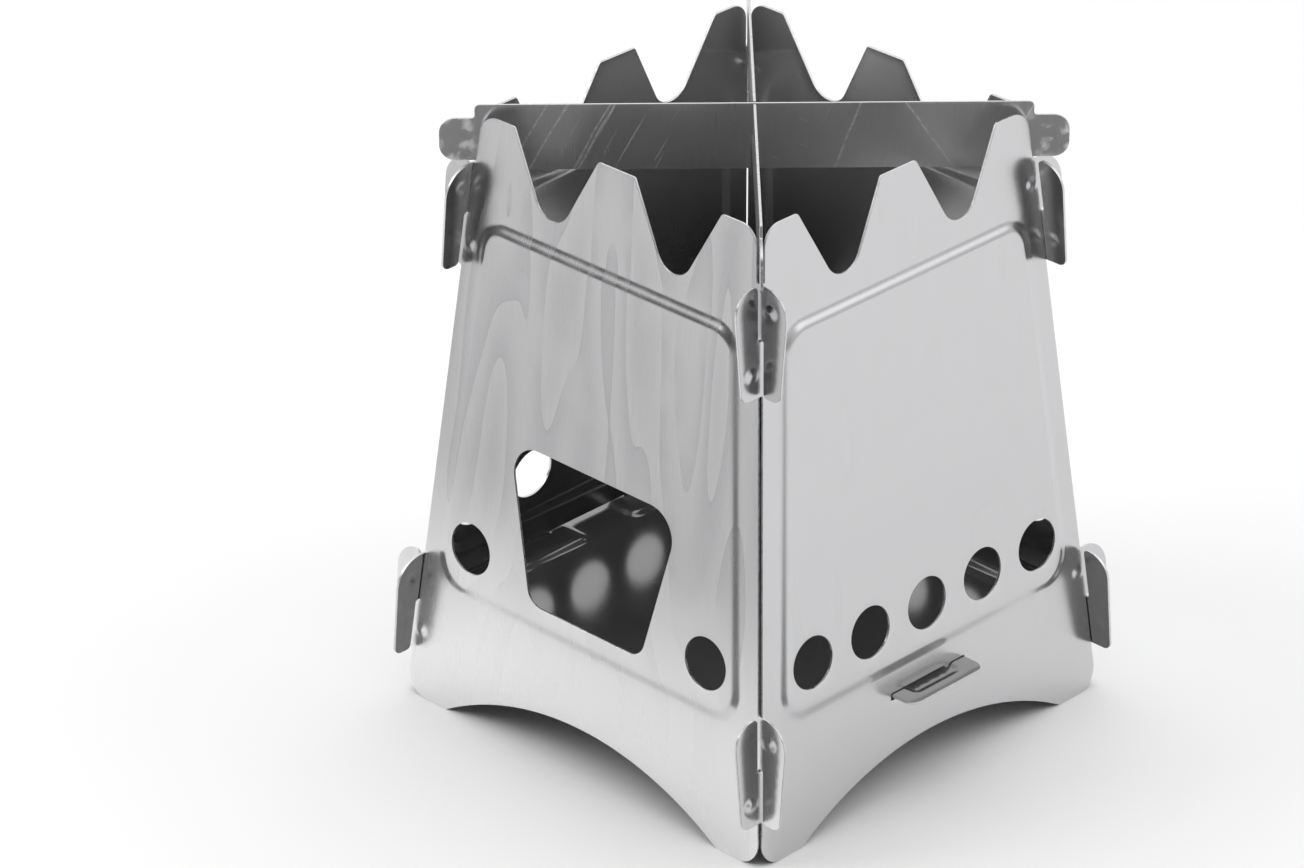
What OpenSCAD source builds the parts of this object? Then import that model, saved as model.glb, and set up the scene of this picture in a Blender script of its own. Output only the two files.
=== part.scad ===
// Folding twig stove: four leaning sheet-steel walls that hook together at the
// corners, a dished floor plate held by two tabs, and a pair of crossed bars
// that carry the pot. Millimetres, +Z up. The origin is on the ground under
// the middle of the stove. The front wall, with the fuel port, faces -Y.

/* [Walls] */
// Height of the crown tips above the ground
wall_height = 146; // [120:1:170]
// Half the distance between opposite walls where they meet the ground
corner_half = 56.5; // [52:0.5:64]
// Lean of every wall towards the middle, in degrees
lean = 5.35; // [4:0.05:6.5]
// Thickness of the steel sheet
sheet = 0.6; // [0.4:0.1:0.8]
// Gap between the side edge of a wall and the face of its neighbour
edge_gap = 0.2; // [0.15:0.05:0.4]

/* [Crown] */
// Half the width of the peak in the middle of the crown
peak_half = 5.5; // [3:0.5:8]
// Distance from the middle of the wall to the start of each shoulder
shoulder_start = 31.4; // [29:0.2:33]
// Depth at which the straight flanks of a valley would meet
valley_depth = 24; // [16:1:26]
// Radius at the bottom of a valley
valley_radius = 5.5; // [3:0.5:7]
// Radius on the corners of the peak and on the inner corner of each shoulder
peak_radius = 0.9; // [0.4:0.1:1.5]
// Radius on the outer corner of each shoulder
shoulder_radius = 5; // [2:0.5:6]

/* [Corner ears] */
// Height of each ear
ear_height = 24.8; // [20:0.2:28]
// How far an ear stands out past the corner line, halfway up the ear
ear_reach = 6.7; // [5.5:0.1:9]
// Height of the middle of the lower ears above the ground
lower_ear_mid = 23.7; // [20:0.1:28]
// Depth of the middle of the upper ears below the crown tips
upper_ear_drop = 24.4; // [22:0.2:32]
// Radius on the outer top corner of an ear
ear_top_radius = 7; // [3:0.5:7]
// Radius on the outer bottom corner of an ear
ear_bottom_radius = 2; // [1:0.2:3]
// Radius on the tip of an ear beside its slot
finger_radius = 1.2; // [0.5:0.1:2]
// Radius in the inner corners where an ear joins the wall
root_radius = 0.6; // [0.2:0.1:1]
// Room in a slot outside the sheet that passes through it
slot_play = 0.7; // [0.55:0.05:0.9]
// How much deeper than half an ear each slot is cut
slot_relief = 0.2; // [0.1:0.1:0.6]

/* [Snap dimples] */
// Distance of each pair of dimples above or below the middle of its ear
dimple_offset = 6.9; // [5:0.1:8]
// Distance of the two dimples of a pair from the corner line, one on each side
dimple_spread = 2.6; // [2.2:0.1:3]
// Diameter of a dimple
dimple_dia = 4.4; // [3:0.2:5]
// Height of a dimple
dimple_rise = 0.45; // [0.2:0.05:0.45]

/* [Feet] */
// Distance from the middle of the wall to the end of its arch
foot_start = 43; // [36:0.5:45]
// Height of the arch between the feet
arch_rise = 11.9; // [6:0.1:16]
// Radius on the outer corner of each foot
foot_radius = 5.5; // [3:0.5:6]

/* [Raised field] */
// How far the pressed field stands out from the border of the wall
field_raise = 1; // [0.7:0.1:1.4]
// Width of the border between the field and the corner line
field_inset = 6.6; // [5:0.2:9]
// Height of the lower edge of the field
field_bottom = 31.6; // [29:0.2:34]
// Depth of the upper edge of the field below the crown tips
field_drop = 24.4; // [24:0.2:46]
// Radius on the corners of the field
field_radius = 7; // [4:0.5:12]
// Width of the web that joins the field to the border
web_width = 1.2; // [1:0.1:2]

/* [Fuel port] */
// Height of the lower edge of the port
port_bottom = 36.8; // [35:0.2:45]
// Height of the upper edge of the port
port_top = 73.9; // [60:0.1:85]
// Half the width of the port along its lower edge
port_bottom_half = 17.4; // [12:0.2:20]
// Half the width of the port along its upper edge
port_top_half = 26.4; // [20:0.2:30]
// Radius on the lower corners of the port
port_bottom_radius = 4.5; // [2:0.5:6]
// Radius on the upper corners of the port
port_top_radius = 7; // [3:0.5:9]

/* [Vents] */
// Diameter of a vent hole
vent_dia = 12.3; // [8:0.1:13]
// Height of the middle of the vents
vent_height = 43.1; // [40:0.1:50]
// Distance between the middles of neighbouring vents
vent_pitch = 18.4; // [15:0.1:18.8]
// Number of vents in the row on the side and back walls
vent_count = 5; // [3:2:5]
// Distance of each of the two front vents from the middle of the wall
front_vent_half = 36.8; // [32:0.2:38]

/* [Floor plate] */
// Height of the flat rim of the floor plate above the ground
floor_height = 25; // [23:0.5:27]
// Gap between the floor plate and the walls around it
floor_gap = 0.5; // [0.3:0.1:1]
// Depth of the dish pressed into the floor plate
dish_depth = 0.7; // [0.6:0.05:1]
// Width of the flat rim around the dish
dish_inset = 7.2; // [4:0.2:12]
// Radius on the corners of the dish
dish_radius = 5; // [3:0.5:8]
// Radius on the corners of the floor plate
floor_radius = 4; // [2:0.5:8]
// Width of the tabs that pass through the side walls
tab_width = 24; // [18:0.5:30]
// How far a tab stands out past the wall
tab_reach = 6.5; // [4:0.1:9]
// Radius on the corners of a tab
tab_radius = 3; // [1:0.2:4]
// Width of the channel pressed along each tab
channel_width = 15.6; // [10:0.2:17]
// How far the channel reaches past the wall
channel_reach = 3.7; // [1:0.1:4]
// Radius on the corners of the channel
channel_radius = 1.5; // [0.5:0.1:2.5]
// Room around a tab in its slot in the wall
tab_play = 0.2; // [0.15:0.05:0.5]

/* [Crossbars] */
// Height of the crossbars' top edge, where the pot stands, above the crown tips
bar_rise = 1.7; // [0.5:0.1:4]
// Height of a crossbar from its bottom edge to its top edge
bar_height = 15.7; // [13.6:0.1:20]
// How far the end of a crossbar stands out past the corner line
bar_ear_reach = 7.7; // [5:0.1:10]
// Height of the bar's ends, from the seat on the ears to their top edge
bar_ear_height = 10.1; // [6:0.1:12]
// How far the top edge of a crossbar stands out past the corner line
bar_top_reach = 0.7; // [0:0.1:2]
// Radius on the upper and lower outer corner of the bar's ends
bar_ear_radius = 3.6; // [2:0.2:4.4]
// Radius on the upper corners of the bar
bar_corner_radius = 1.2; // [0.5:0.1:2]
// Gap between a crossbar and the walls that it passes
bar_gap = 0.22; // [0.15:0.01:0.4]
// Gap between the bar's ends and the ears that they rest on
seat_gap = 0.4; // [0.15:0.05:0.6]
// Room on each side of a bar in the slot of the other bar
lap_play = 0.5; // [0.2:0.1:0.8]

/* [Hidden] */

// Largest turn between two points of a rounded corner, in degrees
arc_step = 12;
// Share of a straight edge that one rounded corner may take up
edge_share = 0.49;
// Share of an ear's top edge that its outer rounded corner may take up
top_share = 0.8;
// Corners with a larger half angle than this are taken as straight, in degrees
straight = 89.5;
// Number of sides on round holes and on dimples
hole_sides = 48;
dimple_sides = 64;
// Overhang that lets a cutting body pass right through a sheet
cut = 3;
// Overlap of the sheets and the web that joins them
lap = 0.3;

// Thickness of a leaning sheet measured level
sheet_level = sheet / cos(lean);
// Half the distance between opposite walls at height z: the corner line
function corner(z) = corner_half - z * tan(lean);
// Distance along a wall's own plane that reaches height z
function up(z) = z / cos(lean);
// Setback of the side edges from the corner line
edge_setback = sheet_level + edge_gap;
// Setback of the shoulders, which leaves the slit for a crossbar
crown_setback = sheet_level + sqrt(2) * (sheet / 2 + bar_gap);
function edge(z) = corner(z) - edge_setback;
function crown_edge(z) = corner(z) - crown_setback;

// The ears rise and hang straight, so their outer edges are upright
function ear_out(mid) = corner(mid) + ear_reach;
function ear_low(mid) = mid - ear_height / 2;
function ear_high(mid) = mid + ear_height / 2;
upper_ear_mid = wall_height - upper_ear_drop;
upper_ear_top = ear_high(upper_ear_mid);

// Points of a fillet of radius r at b, on the way from a to c. It takes up no
// more than the given share of the edges beside it
function unit(v) = v / norm(v);
function fillet(a, b, c, r, share) =
    let (p = unit(a - b), q = unit(c - b),
         half = acos(max(-1, min(1, p * q))) / 2)
    r <= 0 || half > straight ? [b] :
    let (reach = min(r / tan(half), norm(a - b) * share, norm(c - b) * share),
         r_used = reach * tan(half),
         middle = b + unit(p + q) * r_used / sin(half),
         first = b + p * reach - middle,
         last = b + q * reach - middle,
         turn = atan2(first.x * last.y - first.y * last.x, first * last),
         steps = max(2, ceil(abs(turn) / arc_step)))
    [for (i = [0 : steps])
        let (w = turn * i / steps)
        middle + [first.x * cos(w) - first.y * sin(w),
                  first.x * sin(w) + first.y * cos(w)]];

// Closed outline through corners given as [x, y, radius] or [x, y, radius, share]
function outline(c) =
    let (n = len(c))
    [for (i = [0 : n - 1])
        let (a = c[(i + n - 1) % n], b = c[i], d = c[(i + 1) % n])
        each fillet([a.x, a.y], [b.x, b.y], [d.x, d.y], b.z,
            is_undef(b[3]) ? edge_share : b[3])];

// A corner at side u and height z on a wall, with its radius
function at(u, z, r = 0, share = edge_share) = [u, up(z), r, share];
// The same corners on the other side of the middle, in reverse order
function mirrored(c) = [for (i = [len(c) - 1 : -1 : 0]) [-c[i].x, c[i].y, c[i].z, c[i][3]]];

// Right side of an ear: its slot opens downwards, so its upper half joins the
// wall and its lower half hangs free outside the neighbour's sheet
function hanging_ear(mid) =
    let (low = ear_low(mid), high = ear_high(mid), slot_end = mid + slot_relief)
    [at(edge(slot_end), slot_end, root_radius),
     at(corner(slot_end) + slot_play, slot_end, root_radius),
     at(corner(low) + slot_play, low, finger_radius),
     at(ear_out(mid), low, ear_bottom_radius),
     at(ear_out(mid), high, ear_top_radius, top_share)];

// Left side of an ear, drawn downwards: its slot opens upwards, so its lower
// half joins the wall and its upper half stands free
function standing_ear(mid) =
    let (low = ear_low(mid), high = ear_high(mid), slot_end = mid - slot_relief)
    [at(-edge(slot_end), slot_end, root_radius),
     at(-corner(slot_end) - slot_play, slot_end, root_radius),
     at(-corner(high) - slot_play, high, finger_radius),
     at(-ear_out(mid), high, ear_top_radius, top_share),
     at(-ear_out(mid), low, ear_bottom_radius),
     at(-edge(low), low, root_radius)];

// Half of the crown from the middle to the shoulder
crown_half = [
    at(peak_half, wall_height, peak_radius),
    at((peak_half + shoulder_start) / 2, wall_height - valley_depth, valley_radius),
    at(shoulder_start, wall_height, peak_radius)];

// Arch between the feet, drawn from left to right as part of a circle
arch_radius = (pow(foot_start, 2) + pow(arch_rise, 2)) / (2 * arch_rise);
arch_angle = asin(foot_start / arch_radius);
arch_steps = 20;
arch = [for (i = [0 : arch_steps])
    let (w = arch_angle * (2 * i / arch_steps - 1))
    at(arch_radius * sin(w), arch_rise - arch_radius * (1 - cos(w)))];

wall_corners = concat(
    arch,
    [at(edge(0), 0, foot_radius)],
    hanging_ear(lower_ear_mid),
    [at(edge(ear_high(lower_ear_mid)), ear_high(lower_ear_mid), root_radius)],
    hanging_ear(upper_ear_mid),
    [at(crown_edge(upper_ear_top), upper_ear_top, root_radius),
     at(crown_edge(wall_height), wall_height, shoulder_radius)],
    [for (i = [2 : -1 : 0]) crown_half[i]],
    [for (c = crown_half) [-c.x, c.y, c.z]],
    [at(-crown_edge(wall_height), wall_height, shoulder_radius),
     at(-crown_edge(upper_ear_top), upper_ear_top),
     at(-edge(upper_ear_top), upper_ear_top)],
    standing_ear(upper_ear_mid),
    standing_ear(lower_ear_mid),
    [at(-edge(0), 0, foot_radius)]);

field_top = wall_height - field_drop;
// The pressed field follows the corner lines and is drawn smaller by shrink
function field_side(z, shrink) = corner(z) - field_inset - shrink;
function field_corners(shrink) =
    let (low = field_bottom + shrink, high = field_top - shrink,
         r = field_radius - shrink,
         half = [at(field_side(low, shrink), low, r), at(field_side(high, shrink), high, r)])
    concat(half, mirrored(half));

port_corners =
    let (half = [at(port_bottom_half, port_bottom, port_bottom_radius),
                 at(port_top_half, port_top, port_top_radius)])
    concat(half, mirrored(half));

// A slab in the wall's plane, from depth w0 to w1 in front of its outer face
module slab(corners, w0, w1)
    translate([0, 0, w0]) linear_extrude(w1 - w0) polygon(outline(corners));

module vent_bores(places)
    for (u = places)
        translate([u, up(vent_height), -cut])
            cylinder(d = vent_dia, h = 2 * cut, $fn = hole_sides);

vent_row = [for (i = [0 : vent_count - 1]) (i - (vent_count - 1) / 2) * vent_pitch];

// A dimple at side u, height z: a low round bump on the outer face
dimple_ball = (pow(dimple_dia / 2, 2) + pow(dimple_rise, 2)) / (2 * dimple_rise);
module dimple(u, z)
    translate([u, up(z), dimple_rise - dimple_ball])
        sphere(r = dimple_ball, $fn = dimple_sides);

module dimple_caps() {
    // Each pair is on the half of the ear that joins the wall, and the
    // neighbour's sheet snaps in between its two dimples
    for (mid = [lower_ear_mid, upper_ear_mid], spread = [-dimple_spread, dimple_spread]) {
        for (place = [[1, mid + dimple_offset], [-1, mid - dimple_offset]])
            intersection() {
                dimple(place[0] * (corner(place[1]) + spread), place[1]);
                translate([0, 0, -sheet / 2])
                    linear_extrude(sheet + dimple_rise)
                        square([4 * corner_half, 2 * up(wall_height)], center = true);
            }
    }
}

// The pressed steel of one wall, before its own holes
module wall_blank() {
    difference() {
        slab(wall_corners, -sheet, 0);
        slab(field_corners(lap), -cut, cut);
    }
    difference() {
        slab(field_corners(0), -sheet, field_raise);
        slab(field_corners(web_width), -cut, cut);
    }
    slab(field_corners(web_width - lap), field_raise - sheet, field_raise);
    dimple_caps();
}

// Stands a wall that is drawn flat on its feet, leaning, at one of four sides
module stand(side)
    rotate([0, 0, 90 * side]) translate([0, -corner_half, 0]) rotate([90 - lean, 0, 0]) children();

// Trims the feet level with the ground
module ground_trim()
    translate([-2 * corner_half, -2 * corner_half, -2 * cut])
        cube([4 * corner_half, 4 * corner_half, 2 * cut]);

module front_wall() {
    color("silver") difference() {
        stand(0) difference() {
            wall_blank();
            slab(port_corners, -cut, cut);
            vent_bores([-front_vent_half, front_vent_half]);
        }
        ground_trim();
    }
}

module back_wall() {
    color("silver") difference() {
        stand(2) difference() {
            wall_blank();
            vent_bores(vent_row);
        }
        ground_trim();
    }
}

// Slot for a tab of the floor plate, level in the leaning wall
slot_low = floor_height - sheet - dish_depth - tab_play;
slot_high = floor_height + tab_play;
module tab_slot()
    translate([-tab_width / 2 - tab_play, -corner_half - cut, slot_low])
        cube([tab_width + 2 * tab_play, 4 * cut, slot_high - slot_low]);

module side_wall(side) {
    color("silver") difference() {
        stand(side) difference() {
            wall_blank();
            vent_bores(vent_row);
        }
        rotate([0, 0, 90 * side]) tab_slot();
        ground_trim();
    }
}

module right_wall() side_wall(1);
module left_wall() side_wall(3);

// Floor plate: a flat rim, a dish, and a tab on each side
floor_half = corner(floor_height) - sheet_level - floor_gap;
tab_end = corner(floor_height) + tab_reach;
channel_end = corner(floor_height) + channel_reach;
dish_half = floor_half - dish_inset;

function tabbed_square(half, radius, end, width, end_radius, inner_radius) =
    [[half, -half, radius], [half, -width / 2, inner_radius], [end, -width / 2, end_radius],
     [end, width / 2, end_radius], [half, width / 2, inner_radius], [half, half, radius],
     [-half, half, radius], [-half, width / 2, inner_radius], [-end, width / 2, end_radius],
     [-end, -width / 2, end_radius], [-half, -width / 2, inner_radius], [-half, -half, radius]];
plate_corners = tabbed_square(floor_half, floor_radius, tab_end, tab_width, tab_radius, 0);
function dish_corners(shrink) =
    tabbed_square(dish_half - shrink, dish_radius - shrink, channel_end - shrink,
        channel_width - 2 * shrink, channel_radius, dish_radius / 2);

module floor_plate() {
    color("dimgray") {
        difference() {
            slab(plate_corners, floor_height - sheet, floor_height);
            slab(dish_corners(lap), 0, 2 * floor_height);
        }
        difference() {
            slab(dish_corners(0), floor_height - sheet - dish_depth, floor_height);
            slab(dish_corners(web_width), 0, 2 * floor_height);
        }
        slab(dish_corners(web_width - lap), floor_height - sheet - dish_depth,
            floor_height - dish_depth);
    }
}

// Crossbars: the body stays inside the walls, and the ends pass out through
// the slits at the corners and rest on the crossed ears
bar_top = wall_height + bar_rise;
bar_bottom = bar_top - bar_height;
bar_seat = upper_ear_top + seat_gap;
bar_ear_top = bar_seat + bar_ear_height;
bar_half = sqrt(2) * (corner(upper_ear_top) - sheet_level) - 2 * seat_gap;
bar_end = sqrt(2) * corner((bar_seat + bar_ear_top) / 2) + bar_ear_reach;
bar_top_half = sqrt(2) * corner(wall_height) + bar_top_reach;
bar_lap = (bar_top + bar_bottom) / 2;

bar_side = [
    [bar_half, bar_bottom, bar_corner_radius / 2],
    [bar_half, bar_seat, 0],
    [bar_end, bar_seat, bar_ear_radius],
    [bar_end, bar_ear_top, bar_ear_radius],
    [bar_top_half, bar_ear_top, bar_corner_radius / 2],
    [bar_top_half, bar_top, bar_corner_radius]];

module crossbar(turn, slot_from) {
    slot_half = sheet / 2 + lap_play;
    rotate([0, 0, turn]) rotate([90, 0, 0]) difference() {
        slab(concat(bar_side, mirrored(bar_side)), -sheet / 2, sheet / 2);
        translate([-slot_half, slot_from, -cut])
            cube([2 * slot_half, bar_height / 2 + cut, 2 * cut]);
    }
}

// The lower bar runs from the front right corner to the back left one, and its
// slot opens upwards; the upper bar drops into it with a slot that opens down
module crossbar_lower()
    color("gray") crossbar(-45, bar_lap - slot_relief);
module crossbar_upper()
    color("gray") crossbar(45, bar_bottom - cut + slot_relief);

front_wall();
right_wall();
back_wall();
left_wall();
floor_plate();
crossbar_lower();
crossbar_upper();
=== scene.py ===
# %% [markdown]
# # A flat-pack twig stove
# The stove is seven pieces of thin stainless sheet: four leaning walls that hook together at the
# corners, a dished floor plate on two tabs, and two crossed bars for the pot. Nothing is screwed or
# welded, so its looks are those of cut and pressed sheet: crisp outlines, thin bright cut edges,
# soft bends, and a satin surface that mirrors whatever stands round it.
# The imported model holds every size and joint.

import math

import bpy
import numpy as np
from mathutils import Matrix, Vector
from mathutils.geometry import delaunay_2d_cdt


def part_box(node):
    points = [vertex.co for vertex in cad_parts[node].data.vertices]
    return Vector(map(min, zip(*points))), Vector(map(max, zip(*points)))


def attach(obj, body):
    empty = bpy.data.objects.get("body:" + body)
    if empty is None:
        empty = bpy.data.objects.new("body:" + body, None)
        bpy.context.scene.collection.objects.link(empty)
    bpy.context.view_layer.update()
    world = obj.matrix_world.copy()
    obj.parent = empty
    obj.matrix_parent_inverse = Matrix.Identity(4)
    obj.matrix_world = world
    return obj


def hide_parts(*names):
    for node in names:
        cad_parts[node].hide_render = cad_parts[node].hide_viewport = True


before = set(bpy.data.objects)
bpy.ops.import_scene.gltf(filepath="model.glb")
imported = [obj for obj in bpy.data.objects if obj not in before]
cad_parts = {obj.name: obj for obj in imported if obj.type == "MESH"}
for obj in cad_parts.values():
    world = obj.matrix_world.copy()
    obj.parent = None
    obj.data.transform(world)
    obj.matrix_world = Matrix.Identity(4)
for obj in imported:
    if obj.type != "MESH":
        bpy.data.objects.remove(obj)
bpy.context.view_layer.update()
MM = 0.001
print("nodes:", ", ".join(sorted(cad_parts)))

# %% [markdown]
# ## The camera
# The photograph looks down on the front right corner through a long lens. The camera's place, aim
# and roll were worked out from the stove's own corners, so the render lines up with the photograph.
# A focal length in pixels becomes a lens in millimetres by the share of the sensor that it fills.

# %% Place the camera
IMAGE_WIDTH = 1304
FOCAL_PIXELS = 5817.1
SENSOR_WIDTH = 36.0
VIEW_AZIMUTH = math.radians(44.756)
VIEW_ELEVATION = math.radians(27.894)
VIEW_ROLL = math.radians(-0.289)
VIEW_DISTANCE = 1309.6 * MM
AIM = Vector((-16.16, -16.02, 65.88)) * MM


def photo_camera():
    """A camera at the photograph's place, turned to its aim and roll."""
    back = Vector((math.sin(VIEW_AZIMUTH) * math.cos(VIEW_ELEVATION),
                   -math.cos(VIEW_AZIMUTH) * math.cos(VIEW_ELEVATION),
                   math.sin(VIEW_ELEVATION)))
    data = bpy.data.cameras.new("photo_camera")
    data.sensor_width = SENSOR_WIDTH
    data.lens = FOCAL_PIXELS / IMAGE_WIDTH * SENSOR_WIDTH
    data.clip_start, data.clip_end = 0.05, 20
    camera = bpy.data.objects.new("photo_camera", data)
    bpy.context.scene.collection.objects.link(camera)
    turn = back.to_track_quat("Z", "Y") @ Matrix.Rotation(VIEW_ROLL, 3, "Z").to_quaternion()
    camera.matrix_world = Matrix.Translation(AIM + back * VIEW_DISTANCE) @ turn.to_matrix().to_4x4()
    bpy.context.scene.camera = camera
    return camera


camera = photo_camera()
print("lens in mm:", round(camera.data.lens, 1))

# %% [markdown]
# ## Sizes of the walls
# All four walls are cut from the same pattern, drawn flat and then stood up leaning inwards. A point
# on a wall has a distance u from the wall's middle and a height z. The corner line, where two
# walls meet, comes closer to the middle as z grows, and most edges of the pattern follow it.

# %% Sizes and the corner line
SHEET = 0.6
WALL_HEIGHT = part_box("front_wall")[1].z / MM
CORNER_HALF = 56.5
LEAN = math.radians(5.35)
EDGE_GAP = 0.2
BAR_GAP = 0.22
SHEET_LEVEL = SHEET / math.cos(LEAN)
EDGE_SETBACK = SHEET_LEVEL + EDGE_GAP
CROWN_SETBACK = SHEET_LEVEL + math.sqrt(2) * (SHEET / 2 + BAR_GAP)


def corner(z):
    """Half the distance between opposite walls at height z, in millimetres."""
    return CORNER_HALF - z * math.tan(LEAN)


def at(u, z, *rounding):
    """A corner of a wall's flat pattern: side u, height z, and the radius that rounds it."""
    return (u, z / math.cos(LEAN), *rounding)


def edge(z):
    """Half the width of a wall between its ears."""
    return corner(z) - EDGE_SETBACK


def crown_edge(z):
    """Half the width of a wall above its ears, where it leaves room for the bars."""
    return corner(z) - CROWN_SETBACK


print("wall height:", round(WALL_HEIGHT, 2), "half width at the top:", round(crown_edge(WALL_HEIGHT), 2))

# %% [markdown]
# ## Rounded outlines
# A cutting die leaves a radius at every corner. A corner is a point with a radius, and fillet() turns
# it into an arc that touches both edges, so a whole outline is a short list of corners. An arc
# takes up to half of each edge, unless a corner says that it may take more.

# %% Turn corners into rounded outlines
ARC_STEP = math.radians(6)
EDGE_SHARE = 0.49
STRAIGHT = math.radians(89.5)


def fillet(before, here, after, radius=0.0, share=EDGE_SHARE):
    """Points of the arc that rounds the corner here, on the way from before to after."""
    p, q = (before - here).normalized(), (after - here).normalized()
    half = math.acos(max(-1.0, min(1.0, p.dot(q)))) / 2
    if radius <= 0 or half > STRAIGHT:
        return [here]
    reach = min(radius / math.tan(half), (before - here).length * share, (after - here).length * share)
    middle = here + (p + q).normalized() * reach / math.cos(half)
    first, last = here + p * reach - middle, here + q * reach - middle
    turn = math.atan2(first.x * last.y - first.y * last.x, first.dot(last))
    steps = max(3, math.ceil(abs(turn) / ARC_STEP))
    return [middle + Matrix.Rotation(turn * i / steps, 2) @ first for i in range(steps + 1)]


def outline(corners):
    """A closed loop of points through corners given as (x, y), (x, y, radius) or (x, y, radius, share)."""
    points = [Vector(c[:2]) for c in corners]
    loop = []
    for i, c in enumerate(corners):
        loop += fillet(points[i - 1], points[i], points[(i + 1) % len(points)], *c[2:])
    return loop


def mirrored(corners):
    """The same corners on the other side of the middle, in reverse order."""
    return [(-u, v, *rounding) for u, v, *rounding in reversed(corners)]


print("points on a rounded square:", len(outline([(1, -1, 0.5), (1, 1, 0.5), (-1, 1, 0.5), (-1, -1, 0.5)])))

# %% [markdown]
# ## The pattern of a wall
# Each side has two ears with a slot. On the right the slot opens downwards and on the left upwards,
# so each wall hangs on its right-hand neighbour and the four lock into a ring. The crown has three
# peaks with two valleys between them, where flames come out under the pot, and an arch between
# the feet lets air in.

# %% Draw a wall's outline
PEAK_HALF, SHOULDER_START, VALLEY_DEPTH = 5.5, 31.4, 24.0
PEAK_RADIUS, VALLEY_RADIUS, SHOULDER_RADIUS = 0.9, 5.5, 5.0
EAR_HEIGHT, EAR_REACH = 24.8, 6.7
EAR_MIDS = (23.7, WALL_HEIGHT - 24.4)
EAR_TOP_RADIUS, EAR_BOTTOM_RADIUS, FINGER_RADIUS, ROOT_RADIUS = 7.0, 2.0, 1.2, 0.6
TOP_SHARE = 0.8
SLOT_PLAY, SLOT_RELIEF = 0.7, 0.2
FOOT_START, ARCH_RISE, FOOT_RADIUS, ARCH_STEPS = 43.0, 11.9, 5.5, 40


def ear(mid, side):
    """Corners of the ear at height mid, drawn upwards. side 1 is the right, whose slot opens down."""
    low, high, out = mid - EAR_HEIGHT / 2, mid + EAR_HEIGHT / 2, corner(mid) + EAR_REACH
    slot_end, slot_mouth = mid + side * SLOT_RELIEF, low if side > 0 else high
    slot = [at(side * edge(slot_end), slot_end, ROOT_RADIUS),
            at(side * (corner(slot_end) + SLOT_PLAY), slot_end, ROOT_RADIUS),
            at(side * (corner(slot_mouth) + SLOT_PLAY), slot_mouth, FINGER_RADIUS)]
    tip = [at(side * out, low, EAR_BOTTOM_RADIUS), at(side * out, high, EAR_TOP_RADIUS, TOP_SHARE)]
    if side > 0:
        return slot + tip
    return [at(-edge(low), low, ROOT_RADIUS)] + tip + slot[::-1]


def arch():
    """Points of the arch between the feet, from left to right."""
    radius = (FOOT_START ** 2 + ARCH_RISE ** 2) / (2 * ARCH_RISE)
    spread = math.asin(FOOT_START / radius)
    turns = [spread * (2 * i / ARCH_STEPS - 1) for i in range(ARCH_STEPS + 1)]
    return [at(radius * math.sin(w), ARCH_RISE - radius * (1 - math.cos(w))) for w in turns]


def wall_outline():
    """The closed outline of a wall, drawn counterclockwise as seen from outside."""
    low_top, high_top = (mid + EAR_HEIGHT / 2 for mid in EAR_MIDS)
    valley = at((PEAK_HALF + SHOULDER_START) / 2, WALL_HEIGHT - VALLEY_DEPTH, VALLEY_RADIUS)
    crown = [at(PEAK_HALF, WALL_HEIGHT, PEAK_RADIUS), valley, at(SHOULDER_START, WALL_HEIGHT, PEAK_RADIUS)]
    shoulder = at(crown_edge(WALL_HEIGHT), WALL_HEIGHT, SHOULDER_RADIUS)
    right = [at(edge(0), 0, FOOT_RADIUS), *ear(EAR_MIDS[0], 1), at(edge(low_top), low_top, ROOT_RADIUS),
             *ear(EAR_MIDS[1], 1), at(crown_edge(high_top), high_top, ROOT_RADIUS), shoulder]
    left = [at(-shoulder[0], WALL_HEIGHT, SHOULDER_RADIUS), at(-crown_edge(high_top), high_top),
            at(-edge(high_top), high_top), *ear(EAR_MIDS[1], -1)[::-1], *ear(EAR_MIDS[0], -1)[::-1],
            at(-edge(0), 0, FOOT_RADIUS)]
    return outline(arch() + right + crown[::-1] + mirrored(crown[::-1]) + left)


print("points on a wall's outline:", len(wall_outline()))

# %% [markdown]
# ## Field, port and tab slot
# The middle of each wall is pressed outwards by a millimetre. That field stiffens the thin sheet,
# and its soft bend is the line that catches the light all round the wall. The front wall has a port
# for the twigs, and the side walls have a slot for the floor plate's tab.

# %% Draw the field, the port and the tab slot
FIELD_RAISE, BEND_WIDTH = 1.0, 3.5
FIELD_INSET, FIELD_BOTTOM, FIELD_TOP, FIELD_RADIUS = 6.9, 31.9, WALL_HEIGHT - 24.7, 6.7
PORT = [(17.4, 36.8, 4.5), (26.4, 73.9, 7.0)]
FLOOR_HEIGHT, DISH_DEPTH = 25.0, 0.7
TAB_WIDTH, TAB_PLAY, SLOT_CORNER = 24.0, 0.2, 0.4


def field_outline(shrink=0.0):
    """The middle of the field's bend, drawn smaller by shrink."""
    low, high, radius = FIELD_BOTTOM + shrink, FIELD_TOP - shrink, FIELD_RADIUS - shrink
    half = [at(corner(z) - FIELD_INSET - shrink, z, radius) for z in (low, high)]
    return outline(half + mirrored(half))


def port_outline():
    half = [at(*c) for c in PORT]
    return outline(half + mirrored(half))


def tab_slot_outline():
    low, high = FLOOR_HEIGHT - SHEET - DISH_DEPTH - TAB_PLAY, FLOOR_HEIGHT + TAB_PLAY
    half = [at(TAB_WIDTH / 2 + TAB_PLAY, z, SLOT_CORNER) for z in (low, high)]
    return outline(half + mirrored(half))


print("points on the field's bend:", len(field_outline()), "port:", len(port_outline()),
      "tab slot:", len(tab_slot_outline()))

# %% [markdown]
# ## Snap dimples
# Small round bumps keep the hooked sheets together: the neighbour's sheet snaps in between a pair
# of them. They are pressed with a punch, so here only their middles are listed, and the pressing
# tree raises the sheet round each.

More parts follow.
